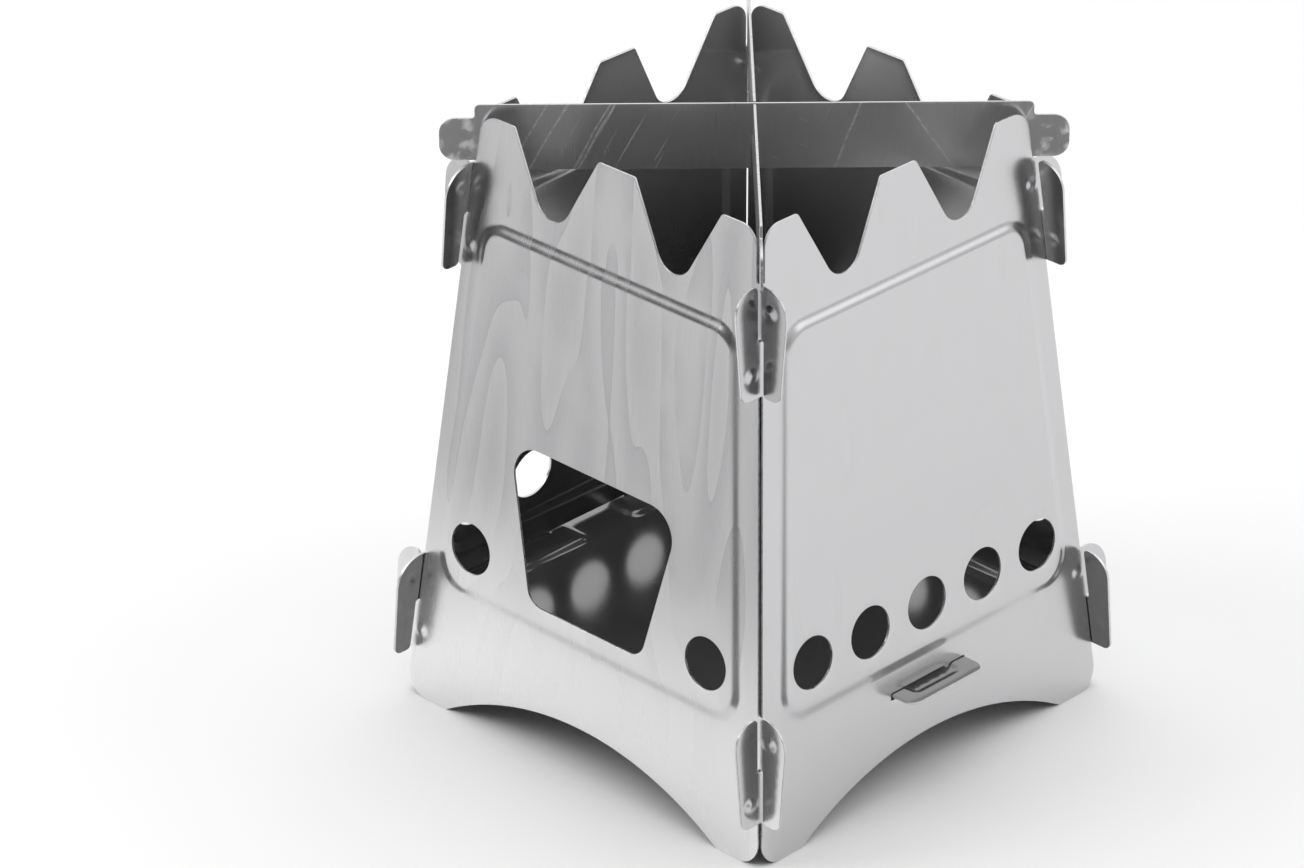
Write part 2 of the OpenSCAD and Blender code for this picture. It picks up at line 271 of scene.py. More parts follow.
# %% Place the snap dimples
DIMPLE_OFFSET, DIMPLE_SPREAD = 6.9, 2.6


def dimple_places():
    """Middles of the snap dimples: a pair astride the corner line on each joined half of an ear."""
    halves = [(side, mid + side * DIMPLE_OFFSET) for mid in EAR_MIDS for side in (1, -1)]
    return [Vector(at(side * (corner(z) + spread), z))
            for side, z in halves for spread in (-DIMPLE_SPREAD, DIMPLE_SPREAD)]


print("dimples at:", [tuple(round(x, 1) for x in p) for p in dimple_places()])

# %% [markdown]
# ## Geometry Nodes in a script
# The next steps build node trees in code. A tree lists its inputs by name, and put() adds a node and
# links or sets its sockets in one call. A modifier stores an input under the socket's identifier,
# which run_tree() looks up by the name. The result is turned into a plain mesh.

# %% Helpers for node trees
def put(tree, kind, links=(), **settings):
    """Adds a node. links maps its input sockets to an output or a value; settings are its properties."""
    node = tree.nodes.new(kind)
    for key, value in settings.items():
        setattr(node, key, value)
    for key, value in dict(links).items():
        if isinstance(value, bpy.types.NodeSocket):
            tree.links.new(value, node.inputs[key])
        else:
            node.inputs[key].default_value = value
    return node


def geometry_tree(name, inputs):
    """An empty tree with a Geometry input and output and the named inputs, each (kind, default)."""
    tree = bpy.data.node_groups.new(name, "GeometryNodeTree")
    tree.interface.new_socket("Geometry", in_out="INPUT", socket_type="NodeSocketGeometry")
    for label, (kind, value) in inputs.items():
        socket = tree.interface.new_socket(label, in_out="INPUT", socket_type="NodeSocket" + kind)
        if value is not None:
            socket.default_value = value
    tree.interface.new_socket("Geometry", in_out="OUTPUT", socket_type="NodeSocketGeometry")
    return tree, tree.nodes.new("NodeGroupInput").outputs


def run_tree(mesh, tree, finish=None, **values):
    work = bpy.data.objects.new("work", mesh)
    bpy.context.scene.collection.objects.link(work)
    modifier = work.modifiers.new("tree", "NODES")
    modifier.node_group = tree
    names = {s.name: s.identifier for s in tree.interface.items_tree if s.in_out == "INPUT"}
    for label, value in values.items():
        modifier[names[label.replace("_", " ")]] = value
    if finish:
        finish(work)
    bpy.context.view_layer.update()
    made = bpy.data.meshes.new_from_object(work.evaluated_get(bpy.context.evaluated_depsgraph_get()))
    bpy.data.objects.remove(work)
    return made


print("helpers ready")

# %% [markdown]
# ## The row of vents
# The vents are one round hole repeated along a line, which is what instances are for: a Mesh Line
# gives the places and a Mesh Circle stands on each. The circles then cut the flat pattern.

# %% Vent rows from Geometry Nodes
VENT_HEIGHT, VENT_DIAMETER, VENT_SIDES = 43.1, 12.3, 48
SIDE_VENTS = dict(Count=5, Pitch=18.4)
FRONT_VENTS = dict(Count=2, Pitch=2 * 36.8)


def vent_tree():
    tree, given = geometry_tree("vent row", {
        "Count": ("Int", 5), "Pitch": ("Float", 18.4), "Height": ("Float", 40.0),
        "Diameter": ("Float", 12.0), "Sides": ("Int", 48)})
    gaps = put(tree, "ShaderNodeMath", {0: given["Count"], 1: 1.0}, operation="SUBTRACT")
    span = put(tree, "ShaderNodeMath", {0: gaps.outputs[0], 1: given["Pitch"]}, operation="MULTIPLY")
    start = put(tree, "ShaderNodeMath", {0: span.outputs[0], 1: -0.5}, operation="MULTIPLY")
    first = put(tree, "ShaderNodeCombineXYZ", {"X": start.outputs[0], "Y": given["Height"]})
    step = put(tree, "ShaderNodeCombineXYZ", {"X": given["Pitch"]})
    row = put(tree, "GeometryNodeMeshLine", {"Count": given["Count"], "Start Location": first.outputs[0],
                                             "Offset": step.outputs[0]})
    radius = put(tree, "ShaderNodeMath", {0: given["Diameter"], 1: 0.5}, operation="MULTIPLY")
    ring = put(tree, "GeometryNodeMeshCircle", {"Vertices": given["Sides"], "Radius": radius.outputs[0]})
    copies = put(tree, "GeometryNodeInstanceOnPoints", {"Points": row.outputs["Mesh"],
                                                        "Instance": ring.outputs["Mesh"]})
    whole = put(tree, "GeometryNodeRealizeInstances", {"Geometry": copies.outputs[0]})
    put(tree, "NodeGroupOutput", {"Geometry": whole.outputs[0]})
    return tree


VENT_TREE = vent_tree()


def vent_outlines(**row):
    """The round holes of one row, each a loop of points."""
    mesh = run_tree(bpy.data.meshes.new("vents"), VENT_TREE, Height=at(0, VENT_HEIGHT)[1],
                    Diameter=VENT_DIAMETER, Sides=VENT_SIDES, **row)
    points = [v.co.xy for v in mesh.vertices]
    return [[p.copy() for p in points[i:i + VENT_SIDES]] for i in range(0, len(points), VENT_SIDES)]


print("side vents:", len(vent_outlines(**SIDE_VENTS)), "front vents:", len(vent_outlines(**FRONT_VENTS)))

# %% [markdown]
# ## A flat sheet with a good mesh
# A pattern could be one big face, but a bend needs points that follow it, and smooth shading needs
# even triangles. So the pattern is filled with points: rows that run along the cut edges, closed
# lines that run along the bend, circles round the dimples, and a plain grid elsewhere. A Delaunay
# triangulation joins them, and what lies outside the outline or in a hole is dropped.

# %% Points along a loop
EDGE_SPACING, GRID_SPACING, BEND_SPACING = 0.7, 1.7, 1.3
SAME_POINT = 1e-4


def resampled(loop, spacing):
    """The loop with points added so that none is further than spacing from the next."""
    points = []
    for i, b in enumerate(loop):
        a = loop[i - 1]
        parts = max(1, math.ceil((b - a).length / spacing))
        points += [a.lerp(b, k / parts) for k in range(parts)]
    return [p for i, p in enumerate(points) if (p - points[i - 1]).length > SAME_POINT]


def turned(loop, counterclockwise):
    """The loop in the direction that keeps the sheet on its left."""
    area = sum(loop[i - 1].cross(p) for i, p in enumerate(loop))
    return loop if (area > 0) == counterclockwise else loop[::-1]


print("points round the port:", len(resampled(port_outline(), EDGE_SPACING)))

# %% [markdown]
# ## Measuring on the pattern
# Which triangles lie in a hole, and how far a point is from a bend, are plain geometry. A loop over
# points would be slow, so numpy answers for all points at once.

# %% Inside a loop, and the distance from it
def inside(points, loop):
    """For each point, whether it lies inside the loop, by counting crossings."""
    x, y = points[:, 0], points[:, 1]
    found = np.zeros(len(points), bool)
    corners = np.array([p[:] for p in loop])
    for a, b in zip(np.roll(corners, 1, 0), corners):
        if a[1] != b[1]:
            crosses = (a[1] > y) != (b[1] > y)
            found ^= crosses & (x < (b[0] - a[0]) * (y - a[1]) / (b[1] - a[1]) + a[0])
    return found


def distance_to(points, loop):
    """Distance from each point to the nearest point on a closed loop."""
    best = np.full(len(points), 1e9)
    corners = np.array([p[:] for p in loop])
    for a, b in zip(np.roll(corners, 1, 0), corners):
        d = b - a
        t = np.clip((points - a) @ d / max(d @ d, 1e-12), 0, 1)
        best = np.minimum(best, np.hypot(*(points - a - t[:, None] * d).T))
    return best


port_middle = np.array([at(0, (PORT[0][1] + PORT[1][1]) / 2)])
print("the port's middle is inside it:", bool(inside(port_middle, port_outline())[0]),
      "and from its edge, in mm:", round(float(distance_to(port_middle, port_outline())[0]), 1))

# %% [markdown]
# ## Points that keep their distance
# Good triangles need points at even distances. Comparing each new point with all others would take
# long, so the sheet is divided into square cells, and a point looks only at the cells round its own.

# %% A spread of points
class Spread:
    """Points that keep their distance, found quickly through a grid of cells."""

    def __init__(self, cell):
        self.cell, self.cells, self.points = cell, {}, []

    def add(self, p, gap):
        """Adds the point unless another is nearer than gap, and says whether it did."""
        i, j = int(p.x // self.cell), int(p.y // self.cell)
        for key in ((i + a, j + b) for a in (-1, 0, 1) for b in (-1, 0, 1)):
            if any((p - o).length < gap for o in self.cells.get(key, ())):
                return False
        self.cells.setdefault((i, j), []).append(p)
        self.points.append(p)
        return True


two_points = Spread(1.0)
print("a point is kept:", two_points.add(Vector((0, 0)), 0.5),
      "and one close beside it:", two_points.add(Vector((0.1, 0)), 0.5))

# %% [markdown]
# ## Where the points go
# Three generators give the points in the order in which they are wanted: rows beside the cut edges
# first, then rings round the dimples, then the plain grid. Each point comes with the gap that it
# keeps, so later points fill only the room that is left.

# %% Rows, rings and grid
EDGE_ROWS = (0.13, 0.28, 0.45, 0.75)
DIMPLE_RINGS = (0.0, 0.6, 1.2, 1.7, 2.1, 2.6)
ROW_KEEPS, EDGE_KEEPS, RING_KEEPS, GRID_KEEPS = 0.93, 0.6, 0.5, 0.7


def beside_edges(loops):
    """Points in rows along the cut edges."""
    for row in EDGE_ROWS:
        for loop in loops:
            for i, p in enumerate(loop):
                ahead = (loop[(i + 1) % len(loop)] - loop[i - 1]).normalized()
                gap = min(row * ROW_KEEPS, EDGE_SPACING * EDGE_KEEPS)
                yield p + Vector((-ahead.y, ahead.x)) * row, gap


def round_dimples(dimples):
    """Points in rings round each dimple's middle."""
    for middle in dimples:
        for ring in DIMPLE_RINGS:
            count = max(1, round(2 * math.pi * ring / EDGE_SPACING))
            for k in range(count):
                spoke = Matrix.Rotation(2 * math.pi * k / count, 2) @ Vector((ring, 0))
                yield middle + spoke, EDGE_SPACING * RING_KEEPS


def plain_grid(low, high):
    """Points of even triangles between two corners."""
    rise = GRID_SPACING * math.sqrt(3) / 2
    for j in range(int((high[1] - low[1]) / rise) + 1):
        for i in range(int((high[0] - low[0]) / GRID_SPACING) + 1):
            across = low[0] + (i + j % 2 / 2) * GRID_SPACING
            yield Vector((across, low[1] + j * rise)), GRID_SPACING * GRID_KEEPS


print("points round the dimples:", len(list(round_dimples(dimple_places()))))

# %% [markdown]
# ## Filling the pattern
# The triangulation keeps the lines that it is given, which are the cut edges and the bend. It also
# fills the holes, so triangles with their middle outside the sheet are dropped afterwards.

# %% All points of a sheet
def spread_points(loops, bends, dimples):
    """The sheet's points, and the edges that the triangles have to keep."""
    spread, edges = Spread(GRID_SPACING), []
    for loop in loops + bends:
        start = len(spread.points)
        for p in loop:
            spread.add(p, 0.0)
        edges += [(start + i, start + (i + 1) % len(loop)) for i in range(len(loop))]
    outer = np.array([p[:] for p in loops[0]])
    for source in (beside_edges(loops), round_dimples(dimples), plain_grid(outer.min(0), outer.max(0))):
        for p, gap in source:
            spread.add(p, gap)
    return spread.points, edges


print("points of a plain wall:", len(spread_points([resampled(wall_outline(), EDGE_SPACING)], [], [])[0]))

# %% Fill a pattern with triangles
CDT_TOLERANCE, FAR = 1e-5, 1e3


def trimmed(points, faces, loops):
    """The points and triangles that lie inside the outline and in no hole."""
    flat = np.array([p[:] for p in points])
    middles = np.array([flat[list(f)].mean(0) for f in faces])
    keep = inside(middles, loops[0])
    for hole in loops[1:]:
        keep &= ~inside(middles, hole)
    faces = [f for f, kept in zip(faces, keep) if kept]
    used = sorted({i for f in faces for i in f})
    index = {old: new for new, old in enumerate(used)}
    return flat[used], [[index[i] for i in f] for f in faces]


def flat_sheet(loops, bend_lines=(), dimples=()):
    """A flat mesh of the pattern. loops[0] is the outline, and the others are holes."""
    loops = [turned(resampled(loop, EDGE_SPACING), i == 0) for i, loop in enumerate(loops)]
    bends = [resampled(line, BEND_SPACING) for line in bend_lines]
    points, edges = spread_points(loops, bends, dimples)
    points, _, faces, *_ = delaunay_2d_cdt(points, edges, [], 0, CDT_TOLERANCE, False)
    flat, faces = trimmed(points, faces, loops)
    mesh = bpy.data.meshes.new("flat sheet")
    mesh.from_pydata([(x, y, 0) for x, y in flat], [], faces)
    from_edge = [distance_to(flat, loop) for loop in loops]
    from_dimple = [np.hypot(*(flat - np.array(m[:])).T) for m in dimples] or [np.full(len(flat), FAR)]
    return mesh, flat, {"edge_distance": np.min(from_edge, axis=0),
                        "dimple_distance": np.min(from_dimple, axis=0)}


test_mesh, _, _ = flat_sheet([port_outline()])
print("points in the port's own area:", len(test_mesh.vertices))

# %% [markdown]
# ## Pressing the sheet
# A press turns the flat pattern into the real wall. The tree reads how far each point is from the
# bend, from a dimple and from a cut edge, and lifts it by a smooth step: the field rises over the
# bend's width, a dimple is a small round hill, and the blade pulls the last millimetre of a cut
# edge down a little. Thin sheet is never quite flat either, so a wide, faint wave is added. Extrude
# Mesh then gives the sheet its thickness, and the cut edges get a material of their own.

# %% Number nodes
def map_smooth(tree, value, start, end, low, high):
    """A smooth step from low to high as value goes from start to end."""
    inputs = {"Value": value, "From Min": start, "From Max": end, "To Min": low, "To Max": high}
    return put(tree, "ShaderNodeMapRange", inputs, interpolation_type="SMOOTHSTEP").outputs["Result"]


def math_node(tree, operation, a, b=0.0):
    return put(tree, "ShaderNodeMath", {0: a, 1: b}, operation=operation).outputs[0]


def times(tree, a, b):
    return math_node(tree, "MULTIPLY", a, b)


def plus(tree, a, b):
    return math_node(tree, "ADD", a, b)


def named_value(tree, name, kind="FLOAT"):
    """A number or a yes or no that is stored on the mesh."""
    return put(tree, "GeometryNodeInputNamedAttribute", {"Name": name}, data_type=kind).outputs["Attribute"]


print("number nodes ready")

# %% [markdown]
# ## The pressed height
# Four things lift or lower a point of the sheet, and they are simply added up. Each is a smooth step
# on one of the distances that flat_sheet() measured, apart from the wave, which is a slow noise.

# %% How far each point is lifted
def pressed_height(tree, given):
    """Field, dimples, drawn edge and wave together, in millimetres."""
    half = times(tree, given["Bend width"], 0.5)
    minus_half = times(tree, half, -1.0)
    field = map_smooth(tree, named_value(tree, "bend_distance"), minus_half, half, 0.0, given["Raise"])
    dimple = map_smooth(tree, named_value(tree, "dimple_distance"), 0.0, given["Dimple radius"],
                        given["Dimple rise"], 0.0)
    near_edge = map_smooth(tree, named_value(tree, "edge_distance"), 0.0, given["Edge width"],
                           times(tree, given["Edge drop"], -1.0), 0.0)
    scale = math_node(tree, "DIVIDE", 1.0, given["Wave size"])
    hills = put(tree, "ShaderNodeTexNoise", {"W": given["Wave seed"], "Scale": scale, "Detail": 1.0},
                noise_dimensions="4D")
    wave = times(tree, math_node(tree, "SUBTRACT", hills.outputs[0], 0.5), given["Wave"])
    return plus(tree, plus(tree, field, dimple), plus(tree, near_edge, wave))


print("pressed_height() adds up four lifts")

# %% [markdown]
# ## From skin to sheet
# The lifted skin is copied by Extrude Mesh, a sheet's thickness further in, and joined to the first
# one along the cut edges. A Solidify modifier would do that too, but here the tree also knows which
# faces are cut edges and which are inside, so each gets its own steel.

# %% The pressing tree
def set_material(tree, geometry, material, **selection):
    """Gives the selected faces, or all of them, a material."""
    inputs = {"Geometry": geometry, "Material": material, **selection}
    return put(tree, "GeometryNodeSetMaterial", inputs).outputs[0]


def pressing_tree():
    """The tree that lifts a flat sheet's points and gives it thickness and materials."""
    tree, given = geometry_tree("pressed sheet", {
        "Raise": ("Float", 1.0), "Bend width": ("Float", 3.5), "Dimple rise": ("Float", 0.45),
        "Dimple radius": ("Float", 2.4), "Edge drop": ("Float", 0.08), "Edge width": ("Float", 0.55),
        "Wave": ("Float", 0.06), "Wave size": ("Float", 45.0), "Wave seed": ("Float", 0.0),
        "Thickness": ("Float", 0.6), "Face": ("Material", None), "Inner face": ("Material", None),
        "Cut edge": ("Material", None)})
    lift = put(tree, "ShaderNodeCombineXYZ", {"Z": pressed_height(tree, given)})
    pressed = put(tree, "GeometryNodeSetPosition", {"Geometry": given["Geometry"], "Offset": lift.outputs[0]})
    skin = put(tree, "GeometryNodeSetShadeSmooth", {"Geometry": pressed.outputs[0]}).outputs[0]
    depth = times(tree, given["Thickness"], -1.0)
    sides = put(tree, "GeometryNodeExtrudeMesh", {"Mesh": skin, "Offset Scale": depth, "Individual": False})
    marks = {"Geometry": sides.outputs["Mesh"], "Name": "cut_edge", "Value": sides.outputs["Side"]}
    marked = put(tree, "GeometryNodeStoreNamedAttribute", marks, data_type="BOOLEAN", domain="FACE")
    turned_over = put(tree, "GeometryNodeFlipFaces", {"Mesh": marked.outputs[0]})
    joined = put(tree, "GeometryNodeJoinGeometry")
    tree.links.new(set_material(tree, turned_over.outputs[0], given["Inner face"]), joined.inputs[0])
    tree.links.new(set_material(tree, skin, given["Face"]), joined.inputs[0])
    closed = put(tree, "GeometryNodeMergeByDistance", {"Geometry": joined.outputs[0], "Distance": SAME_POINT})
    whole = put(tree, "GeometryNodeRealizeInstances", {"Geometry": closed.outputs[0]})
    is_edge = named_value(tree, "cut_edge", "BOOLEAN")
    edged = set_material(tree, whole.outputs[0], given["Cut edge"], Selection=is_edge)
    put(tree, "NodeGroupOutput", {"Geometry": edged})
    return tree


PRESSING_TREE = pressing_tree()
print("tree inputs:", [s.name for s in PRESSING_TREE.interface.items_tree if s.in_out == "INPUT"])

# %% [markdown]
# ## Rounded cut edges
# No real edge is perfectly sharp, and a narrow rounded one catches a line of light. The Bevel
# modifier does this well, limited by angle so that it leaves the soft bends alone.

# %% Round the cut edges
EDGE_ROUNDING, EDGE_SEGMENTS, SHARP_ANGLE = 0.09, 2, math.radians(50)


def round_edges(work):
    """Adds a narrow bevel to a sheet's cut edges."""
    bevel = work.modifiers.new("edges", "BEVEL")
    bevel.width, bevel.segments, bevel.limit_method = EDGE_ROUNDING, EDGE_SEGMENTS, "ANGLE"
    bevel.angle_limit, bevel.harden_normals, bevel.use_clamp_overlap = SHARP_ANGLE, True, True


print("edge rounding in mm:", EDGE_ROUNDING)

# %% [markdown]
# ## Shader helpers
# A shader node group is a small material part with named inputs and outputs. Grain, scratches and
# stains are each one group, built once, and every steel in the scene uses them with its own values.

# %% Helpers for shader groups
def shader_group(name, inputs, outputs):
    """An empty shader group with the named inputs, each (kind, default), and outputs, each a kind."""
    group = bpy.data.node_groups.new(name, "ShaderNodeTree")
    for label, (kind, value) in inputs.items():
        socket = group.interface.new_socket(label, in_out="INPUT", socket_type="NodeSocket" + kind)
        if value is not None:
            socket.default_value = value
    for label, kind in outputs.items():
        group.interface.new_socket(label, in_out="OUTPUT", socket_type="NodeSocket" + kind)
    return group, group.nodes.new("NodeGroupInput").outputs


def use_group(tree, group, **values):
    """Places a shader group in a tree and sets or links its inputs."""
    node = tree.nodes.new("ShaderNodeGroup")
    node.node_tree = group
    for label, value in values.items():
        key = label.replace("_", " ")
        if isinstance(value, bpy.types.NodeSocket):
            tree.links.new(value, node.inputs[key])
        else:
            node.inputs[key].default_value = value
    return node.outputs


def noise(tree, vector, scale, detail=2.0, roughness=0.5):
    """A noise pattern, between 0 and 1."""
    return put(tree, "ShaderNodeTexNoise", {"Vector": vector, "Scale": scale, "Detail": detail,
                                            "Roughness": roughness}).outputs[0]


def side_and_up(tree, vector):
    """How far along the sheet a point lies, and how far up it."""
    parts = put(tree, "ShaderNodeSeparateXYZ", {"Vector": vector}).outputs
    return parts["X"], parts["Y"]


print("shader helpers ready")

# %% [markdown]
# ## Grain, scratches and stains
# Rolled steel has a grain of fine lines, here along the height of a wall. Scratches are the same
# idea made sparse: noise stretched very long, of which only the highest crests are kept. All of them
# read the sheet's own UV map, so they follow a bend and lie the same way on every wall.

# %% Groups for grain and scratches
def grain_group():
    """Fine lines along the height of the sheet."""
    group, given = shader_group("rolled grain", {
        "Vector": ("Vector", None), "Fine": ("Float", 260.0), "Long": ("Float", 6.0)}, {"Value": "Float"})
    scale = put(group, "ShaderNodeCombineXYZ", {"X": given["Fine"], "Y": given["Long"], "Z": 1.0})
    lines = put(group, "ShaderNodeVectorMath", {0: given["Vector"], 1: scale.outputs[0]}, operation="MULTIPLY")
    fine = noise(group, lines.outputs[0], 1.0, 3.0, 0.6)
    put(group, "NodeGroupOutput", {"Value": fine})
    return group


def scratch_group():
    """Many thin scratches at one angle. A higher Level keeps fewer of them."""
    group, given = shader_group("scratches", {
        "Vector": ("Vector", None), "Angle": ("Float", 0.0), "Across": ("Float", 160.0),
        "Along": ("Float", 3.0), "Level": ("Float", 0.7)}, {"Mask": "Float"})
    turn = put(group, "ShaderNodeCombineXYZ", {"Z": given["Angle"]})
    flat = put(group, "ShaderNodeMapping", {"Vector": given["Vector"], "Rotation": turn.outputs[0]})
    scale = put(group, "ShaderNodeCombineXYZ", {"X": given["Across"], "Y": given["Along"], "Z": 1.0})
    lines = put(group, "ShaderNodeVectorMath", {0: flat.outputs[0], 1: scale.outputs[0]}, operation="MULTIPLY")
    crest = noise(group, lines.outputs[0], 1.0, 1.0, 0.5)
    top = plus(group, given["Level"], 0.06)
    mask = map_smooth(group, crest, given["Level"], top, 0.0, 1.0)
    put(group, "NodeGroupOutput", {"Mask": mask})
    return group


GRAIN, SCRATCHES = grain_group(), scratch_group()
print("groups:", [g.name for g in (GRAIN, SCRATCHES)])

# %% [markdown]
# ## Water stains and long scratches
# Stains from drying water are nested loops, like the rings in wood, so they are level lines of a slow
# noise: the noise is multiplied, and only what follows the decimal point is kept. A long scratch is
# a single line at a given place and angle, which a second noise bends a little and breaks up.

# %% Groups for stains and long scratches
def stain_group():
    """Nested rings, as a thin Mask on each ring and a Tide that fades from it."""
    group, given = shader_group("water stains", {
        "Vector": ("Vector", None), "Size": ("Float", 2.0), "Rings": ("Float", 7.0),
        "Spread": ("Float", 0.5)}, {"Mask": "Float", "Tide": "Float"})
    tall = put(group, "ShaderNodeMapping", {"Vector": given["Vector"], "Scale": (1.0, 0.17, 1.0)})
    hills = noise(group, tall.outputs[0], given["Size"], 0.3, 0.25)
    levels = times(group, hills, given["Rings"])
    saw = math_node(group, "FRACT", levels)
    ring = map_smooth(group, saw, 0.0, 0.07, 1.0, 0.0)
    fade = map_smooth(group, saw, 0.0, 1.0, 1.0, 0.0)
    where = noise(group, given["Vector"], 1.6, 2.0)
    high = plus(group, given["Spread"], 0.16)
    patch = map_smooth(group, where, given["Spread"], high, 0.0, 1.0)
    put(group, "NodeGroupOutput", {"Mask": times(group, ring, patch), "Tide": times(group, fade, patch)})
    return group


def long_scratch_group():
    """One scratch. Place is its distance from the UV map's origin, across its own direction."""
    group, given = shader_group("long scratch", {
        "Vector": ("Vector", None), "Place": ("Float", 0.0), "Angle": ("Float", 0.5),
        "Width": ("Float", 0.004)}, {"Mask": "Float"})
    turn = put(group, "ShaderNodeCombineXYZ", {"Z": given["Angle"]})
    flat = put(group, "ShaderNodeMapping", {"Vector": given["Vector"], "Rotation": turn.outputs[0]})
    across, _ = side_and_up(group, flat.outputs[0])
    wander = times(group, noise(group, given["Vector"], 4.0, 1.0), 0.02)
    away = math_node(group, "SUBTRACT", plus(group, across, wander), given["Place"])
    line = map_smooth(group, math_node(group, "ABSOLUTE", away), 0.0, given["Width"], 1.0, 0.0)
    broken = map_smooth(group, noise(group, given["Vector"], 45.0, 2.0), 0.35, 0.6, 0.25, 1.0)
    put(group, "NodeGroupOutput", {"Mask": times(group, line, broken)})
    return group


STAINS, LONG_SCRATCH = stain_group(), long_scratch_group()
print("groups:", [g.name for g in (STAINS, LONG_SCRATCH)])

# %% [markdown]
# ## Satin stainless steel
# Steel is a metal, so its colour is the colour of its reflection, and its look comes from roughness.
# Satin sheet is smooth enough to show what stands near and rough enough to blur it. A Finish holds
# the three things that wear and dirt change, colour, roughness and relief, and each effect on it
# tints, roughens or raises a masked part. That way the effects can be put together freely.

# %% A finish that effects can be added to
UV_UNIT = 50.0


def mix_colour(tree, factor, a, b):
    """A blend of two colours, each an output or three numbers."""
    a, b = (c if isinstance(c, bpy.types.NodeSocket) else (*c, 1) for c in (a, b))
    return put(tree, "ShaderNodeMix", {0: factor, 6: a, 7: b}, data_type="RGBA").outputs[2]


class Finish:
    """A sheet's colour, roughness and relief, on which effects are laid one after another."""

    def __init__(self, tree, light, dark, roughness, grain):
        self.tree = tree
        self.place = put(tree, "ShaderNodeUVMap", uv_map="sheet").outputs[0]
        self.side, self.up = side_and_up(tree, self.place)
        lines = use_group(tree, GRAIN, Vector=self.place, Fine=260.0, Long=5.0)["Value"]
        clouds = noise(tree, self.place, 3.0, 3.0)
        self.base = mix_colour(tree, times(tree, lines, 0.9), dark, light)
        self.rough = plus(tree, roughness - 0.04, times(tree, clouds, 0.08))
        self.roughen(math_node(tree, "SUBTRACT", lines, 0.5), grain)
        self.height = times(tree, lines, 0.6)

    def tint(self, mask, colour, strength=1.0):
        mask = mask if strength == 1.0 else times(self.tree, mask, strength)
        self.base = mix_colour(self.tree, mask, self.base, colour)

    def roughen(self, mask, amount):
        self.rough = plus(self.tree, self.rough, times(self.tree, mask, amount))

    def lift(self, mask, amount):
        self.height = plus(self.tree, self.height, times(self.tree, mask, amount))


print("UV unit in mm:", UV_UNIT)

# %% [markdown]
# ## What use and handling add, and painted light and shade
# The bars are scratched by pots and rubbed pale at their ends, where they slide into the corners. The
# front wall has stains from water, and its foot is painted paler, which is painted light. Inside, the
# walls get painted shade: darker towards the floor, and darker still on the ears, which stand outside the
# stove.

# %% Scratches and rubbed ends
BAR_MIDDLE, LONG_WIDTH = 140.0, 0.008
SCRATCH_WHITE, RUBBED_GREY = (1.0,) * 3, (0.95,) * 3


def add_scratches(finish, strength, scores):
    """Fine scratches at two angles, and long ones, each a place along the bar in mm and a turn."""
    tree, place = finish.tree, finish.place
    fine = use_group(tree, SCRATCHES, Vector=place, Angle=0.49, Across=120.0, Along=2.0, Level=0.71)
    cross = use_group(tree, SCRATCHES, Vector=place, Angle=-1.1, Across=110.0, Along=5.0, Level=0.75)
    mask = math_node(tree, "MAXIMUM", fine["Mask"], cross["Mask"])
    for along_bar, turn in scores:
        start = (along_bar * math.cos(turn) - BAR_MIDDLE * math.sin(turn)) / UV_UNIT
        line = use_group(tree, LONG_SCRATCH, Vector=place, Place=start, Angle=turn, Width=LONG_WIDTH)
        mask = math_node(tree, "MAXIMUM", mask, line["Mask"])
    finish.tint(mask, SCRATCH_WHITE, 0.9 * strength)
    finish.roughen(mask, 0.35 * strength)
    finish.lift(mask, -strength)


def add_worn_ends(finish, strength):
    """Pale rubbed patches at both ends of a bar."""
    tree = finish.tree
    far = map_smooth(tree, math_node(tree, "ABSOLUTE", finish.side), 1.16, 1.28, 0.0, strength)
    patches = map_smooth(tree, noise(tree, finish.place, 14.0, 4.0), 0.50, 0.66, 0.0, 1.0)
    rubbed = times(tree, far, patches)
    finish.tint(rubbed, RUBBED_GREY)
    finish.roughen(rubbed, 0.35)
    finish.lift(rubbed, 1.5)


print("middle of a bar on its pattern, in mm:", BAR_MIDDLE)

# %% Stains, painted light at the foot and painted shade inside
WALL_PITCH = 7.0
# The foot's grey is painted light and the inner grey is painted shade; the stain grey is the stains' own.
STAIN_GREY, PAINTED_FOOT_LIGHT, PAINTED_SHADE_GREY = (0.30,) * 3, (0.86,) * 3, (0.12,) * 3


def add_stains(finish, strength, dark):
    """Rings of dried water, and a foot painted paler, which is painted light."""
    tree = finish.tree
    marks = use_group(tree, STAINS, Vector=finish.place, Size=4.0, Rings=5.0, Spread=0.33)
    finish.tint(marks["Tide"], dark, 0.6 * strength)
    finish.tint(marks["Mask"], STAIN_GREY, 0.25 * strength)
    # Painted light: the foot is painted paler, against the floor's shadow that the lower wall mirrors.
    finish.tint(map_smooth(tree, finish.up, 0.2, 1.4, strength, 0.0), PAINTED_FOOT_LIGHT)
    finish.roughen(marks["Tide"], 0.08 * strength)


def add_painted_shade(finish, strength):
    """Painted shade: darker towards the floor and on the ears. Each wall has its own stretch of the UV map."""
    tree = finish.tree
    own = put(tree, "ShaderNodeMath", {0: finish.side, 1: WALL_PITCH / 2, 2: -WALL_PITCH / 2}, operation="WRAP")
    ears = map_smooth(tree, math_node(tree, "ABSOLUTE", own.outputs[0]), 0.93, 1.0, 0.0, 0.75)
    low = map_smooth(tree, finish.up, 1.3, 2.5, strength, 0.0)
    # Painted shade on the inner face: darker low down and on the ears.
    finish.tint(math_node(tree, "MAXIMUM", low, ears), PAINTED_SHADE_GREY)


print("each wall's share of the UV map, in mm:", WALL_PITCH * UV_UNIT)

# %% [markdown]
# ## The steels
# One function lays the effects that are asked for on a finish and links it to the Principled shader.
# Metallic is a number on the shader's own socket, a little under 1 where dirt dulls the metal.

# %% One function for all the steels
RELIEF_STRENGTH, RELIEF_DEPTH = 0.25, 0.013


